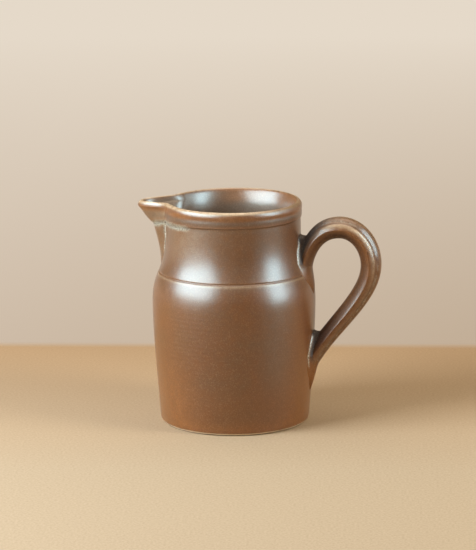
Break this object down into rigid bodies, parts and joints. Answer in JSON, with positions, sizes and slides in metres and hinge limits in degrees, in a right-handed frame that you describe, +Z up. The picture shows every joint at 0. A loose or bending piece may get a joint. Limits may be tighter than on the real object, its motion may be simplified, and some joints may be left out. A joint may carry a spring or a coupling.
{
  "type": "milk jug",
  "caption": "Squat glazed stoneware milk jug with a full belly, tooled shoulder groove, banded rim, keeled pouring beak and a ribbed strap handle.",
  "frame": {"origin": "centre of the pot's flat foot, on the table and on the pot's axis", "axes": "+X towards the handle, -X towards the beak, +Z up along the pot's axis, +Y across the jug"},
  "size_m": [0.1749, 0.116, 0.1585],
  "materials": {
    "body_glaze": "satin brown glaze with a fine speckle, glossier inside, over a bare cream foot line",
    "spout_glaze": "satin brown glaze, thin and warm along the lip",
    "handle_glaze": "satin brown glaze, grey where it pools in the finger grooves",
    "pooled_glaze": "pale grey-green pooled glaze over the wiped slip"
  },
  "bodies": {
    "root": {"body": "body_glaze", "spout": "spout_glaze", "spout_slip_seam": "pooled_glaze", "handle": "handle_glaze", "handle_upper_slip": "pooled_glaze", "handle_lower_slip": "pooled_glaze"}
  },
  "joints": []
}
